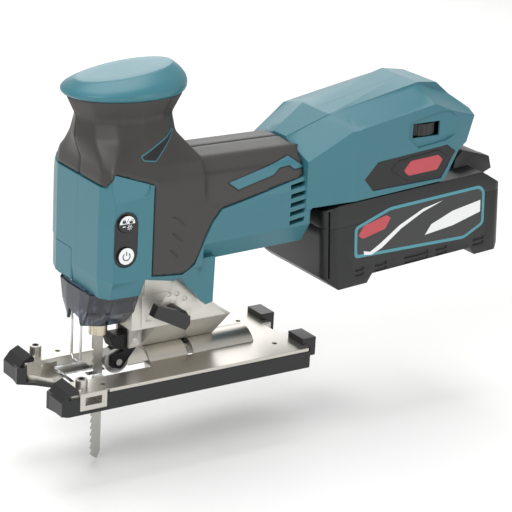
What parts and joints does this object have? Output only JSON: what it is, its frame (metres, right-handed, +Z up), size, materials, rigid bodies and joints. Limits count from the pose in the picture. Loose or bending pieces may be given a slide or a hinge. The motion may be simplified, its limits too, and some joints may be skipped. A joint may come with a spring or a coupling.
{
  "type": "cordless body-grip jigsaw",
  "caption": "Cordless body-grip jigsaw with reciprocating blade, orbital roller arm, tilting base, sliding dust cover and slide-on battery pack.",
  "frame": {"origin": "the point where the blade axis crosses the plane of the base underside", "axes": "+Z up along the blade axis towards the knob, +X back towards the battery, -Y the left side of the tool"},
  "size_m": [0.3226, 0.077, 0.2479],
  "materials": {
    "housing_plastic": "satin moulded",
    "rubber": "matt overmoulded",
    "black_plastic": "fine texture",
    "button_plastic": "satin",
    "circuit_board": "coated",
    "cell_metal": "plated",
    "label_film": "printed film",
    "cast_alloy": "cast and machined",
    "steel": "ground",
    "dark_steel": "black oxide",
    "copper": "enamelled winding",
    "bronze": "sintered",
    "blade_steel": "ground and set",
    "clear_plastic": "clear moulded"
  },
  "bodies": {
    "housing": {"housing_left": "housing_plastic", "housing_right": "housing_plastic", "grip_left": "rubber", "grip_right": "rubber", "knob_cap": "housing_plastic", "switch_panel_left": "black_plastic", "switch_panel_right": "black_plastic", "switch_board_left": "circuit_board", "switch_board_right": "circuit_board", "opener_pin": "steel", "gear_housing": "cast_alloy", "crank_stub": "steel", "front_bearing": "steel", "rear_bearing": "steel", "stator_core": "steel", "stator_coils": "copper", "terminal_block": "black_plastic", "motor_controller": "black_plastic", "dial_bracket": "black_plastic", "badge_plates": "black_plastic", "fork_pin": "steel", "clamp_plate": "steel", "bevel_bolt": "dark_steel", "wire_guard": "steel"},
    "crank": {"crank_gear": "steel", "crank_pin": "steel"},
    "counterweight": {"counterweight": "steel"},
    "rotor": {"rotor_shaft": "steel", "rotor_core": "steel", "cooling_fan": "black_plastic"},
    "rod_carrier": {"rod_frame": "cast_alloy", "rod_bushes": "bronze"},
    "rod": {"rod": "steel", "rod_yoke": "steel", "blade": "blade_steel"},
    "clamp_sleeve": {"clamp_sleeve": "dark_steel"},
    "roller_fork": {"roller_fork": "dark_steel", "roller_pin": "steel"},
    "roller": {"guide_roller": "steel"},
    "orbital_lever": {"orbital_lever": "black_plastic"},
    "dust_cover": {"dust_cover": "clear_plastic"},
    "opener_lever": {"opener_lever": "housing_plastic"},
    "speed_dial": {"speed_dial": "black_plastic"},
    "power_button_left": {"power_button_left": "button_plastic"},
    "power_button_right": {"power_button_right": "button_plastic"},
    "lock_button_left": {"lock_button_left": "button_plastic"},
    "lock_button_right": {"lock_button_right": "button_plastic"},
    "battery": {"battery_lower_case": "black_plastic", "battery_upper_case": "black_plastic", "battery_cells": "cell_metal", "cell_carrier": "black_plastic", "battery_labels": "label_film"},
    "battery_latch": {"battery_latch_button": "black_plastic"},
    "base": {"base_plate": "cast_alloy", "base_cover": "black_plastic", "splinter_insert": "clear_plastic", "fence_screws": "dark_steel"}
  },
  "joints": [
    {"name": "crank_spin", "type": "hinge", "parent": "housing", "child": "crank", "pos_m": [0.0205, 0, 0.0857], "axis": [1, 0, 0], "continuous": true},
    {"name": "rotor_spin", "type": "hinge", "parent": "housing", "child": "rotor", "pos_m": [0.06, 0, 0.11], "axis": [1, 0, 0], "continuous": true},
    {"name": "rod_swing", "type": "hinge", "parent": "housing", "child": "rod_carrier", "pos_m": [0, 0, 0.12575], "axis": [0, 1, 0], "range_deg": [0, 1]},
    {"name": "rod_stroke", "type": "slide", "parent": "rod_carrier", "child": "rod", "axis": [0, 0, 1], "range_m": [0, 0.026]},
    {"name": "counterweight_slide", "type": "slide", "parent": "housing", "child": "counterweight", "axis": [0, 0, 1], "range_m": [-0.0065, 0]},
    {"name": "sleeve_turn", "type": "hinge", "parent": "rod", "child": "clamp_sleeve", "pos_m": [0, 0, 0.04], "axis": [0, 0, 1], "range_deg": [0, 45], "stiffness_Nm_per_rad": 0.02},
    {"name": "fork_swing", "type": "hinge", "parent": "housing", "child": "roller_fork", "pos_m": [0.0215, 0, 0.0263], "axis": [0, 1, 0], "range_deg": [0, 8.9]},
    {"name": "roller_spin", "type": "hinge", "parent": "roller_fork", "child": "roller", "pos_m": [0.0119, 0, 0.0137], "axis": [0, 1, 0], "continuous": true},
    {"name": "orbital_lever_turn", "type": "hinge", "parent": "housing", "child": "orbital_lever", "pos_m": [0.037, -0.03, 0.048], "axis": [0, 1, 0], "range_deg": [-20, 100]},
    {"name": "dust_cover_slide", "type": "slide", "parent": "housing", "child": "dust_cover", "axis": [0, 0, 1], "range_m": [-0.012, 0]},
    {"name": "opener_swing", "type": "hinge", "parent": "housing", "child": "opener_lever", "pos_m": [-0.0148, 0.007, 0.077], "axis": [0, 0, 1], "range_deg": [0, 70]},
    {"name": "dial_turn", "type": "hinge", "parent": "housing", "child": "speed_dial", "pos_m": [0.209, -0.0247, 0.1455], "axis": [0, 0, 1], "range_deg": [0, 250]},
    {"name": "power_button_left_press", "type": "slide", "parent": "housing", "child": "power_button_left", "axis": [0.1097, 0.994, 0], "range_m": [0, 0.0008], "stiffness_N_per_m": 1500},
    {"name": "power_button_right_press", "type": "slide", "parent": "housing", "child": "power_button_right", "axis": [0.1097, -0.994, 0], "range_m": [0, 0.0008], "stiffness_N_per_m": 1500},
    {"name": "lock_button_left_press", "type": "slide", "parent": "housing", "child": "lock_button_left", "axis": [0.1097, 0.994, 0], "range_m": [0, 0.0008], "stiffness_N_per_m": 1500},
    {"name": "lock_button_right_press", "type": "slide", "parent": "housing", "child": "lock_button_right", "axis": [0.1097, -0.994, 0], "range_m": [0, 0.0008], "stiffness_N_per_m": 1500},
    {"name": "battery_slide", "type": "slide", "parent": "housing", "child": "battery", "axis": [0.9976, 0, 0.0698], "range_m": [0, 0.12]},
    {"name": "latch_press", "type": "slide", "parent": "battery", "child": "battery_latch", "axis": [0.0698, 0, -0.9976], "range_m": [0, 0.003], "stiffness_N_per_m": 900},
    {"name": "base_tilt", "type": "hinge", "parent": "housing", "child": "base", "pos_m": [0.046, 0, 0.006], "axis": [1, 0, 0], "range_deg": [-45, 45]}
  ],
  "couplings": [
    {"joint": "rotor_spin", "follows": "crank_spin", "ratio": -4.4},
    {"joint": "counterweight_slide", "follows": "rod_stroke", "ratio": -0.25},
    {"joint": "fork_swing", "follows": "rod_swing", "ratio": 8.9}
  ]
}
